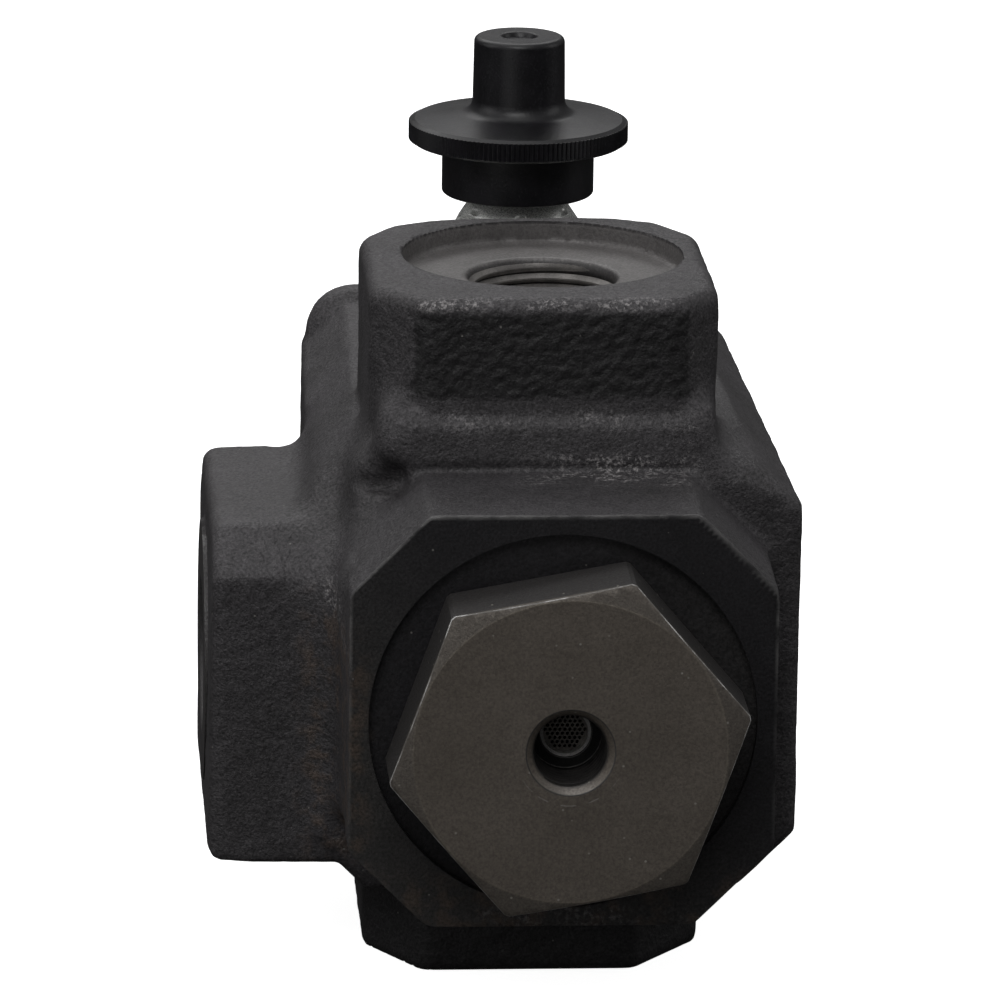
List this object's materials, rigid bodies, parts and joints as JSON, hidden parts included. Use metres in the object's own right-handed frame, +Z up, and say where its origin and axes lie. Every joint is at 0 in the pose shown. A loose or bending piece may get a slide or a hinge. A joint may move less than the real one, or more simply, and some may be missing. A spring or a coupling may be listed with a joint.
{
  "type": "hydraulic flow control valve",
  "caption": "Cast flow control valve with a hex compensator plug at the front, ports above, below and at the left, and a knurled knob turning a rotary throttle at the rear.",
  "frame": {"origin": "centre of the bottom port in the flat face of the bottom boss, on which the valve stands", "axes": "+Z up along the vertical ports and parallel to the knob's axis, +Y from the hex plug at the front to the knob at the rear, +X right, away from the side port"},
  "size_m": [0.0974, 0.1624, 0.1384],
  "materials": {
    "cast_iron": "black phosphated sand casting with machined faces",
    "plug_steel": "dark turned steel",
    "nitrile": "matt black nitrile",
    "screen_bronze": "fine perforated sheet",
    "bright_steel": "bright steel",
    "ground_steel": "ground hardened steel",
    "spring_steel": "oil-tempered wire",
    "zinc_plate": "bright zinc plate",
    "orifice_brass": "turned brass",
    "black_phenolic": "satin black moulding",
    "white_ptfe": "white low-friction plastic"
  },
  "bodies": {
    "housing": {"valve_body": "cast_iron", "compensator_plug": "plug_steel", "plug_o_ring": "nitrile", "pilot_screen": "screen_bronze", "screen_retaining_ring": "bright_steel", "compensator_spring": "spring_steel", "throttle_sleeve": "ground_steel", "throttle_stop_pin": "bright_steel", "thrust_washer": "bright_steel", "throttle_bonnet": "zinc_plate", "bonnet_o_ring": "nitrile", "stem_o_ring": "nitrile", "stem_backup_ring": "white_ptfe", "gland_nut": "zinc_plate"},
    "throttle": {"throttle_stem": "ground_steel", "knob_insert": "orifice_brass", "adjusting_knob": "black_phenolic", "knob_set_screws": "bright_steel", "friction_washer": "white_ptfe"},
    "compensator": {"compensator_spool": "ground_steel", "damping_orifice": "orifice_brass", "spring_shim": "bright_steel"}
  },
  "joints": [
    {"name": "knob_turn", "type": "hinge", "parent": "housing", "child": "throttle", "pos_m": [0, 0.0603, 0.12], "axis": [0, 0, 1], "range_deg": [0, 300]},
    {"name": "compensator_slide", "type": "slide", "parent": "housing", "child": "compensator", "axis": [0, -1, 0], "range_m": [0, 0.0065], "stiffness_N_per_m": 5700, "springref_m": -0.01, "deforming": ["compensator_spring"]}
  ]
}
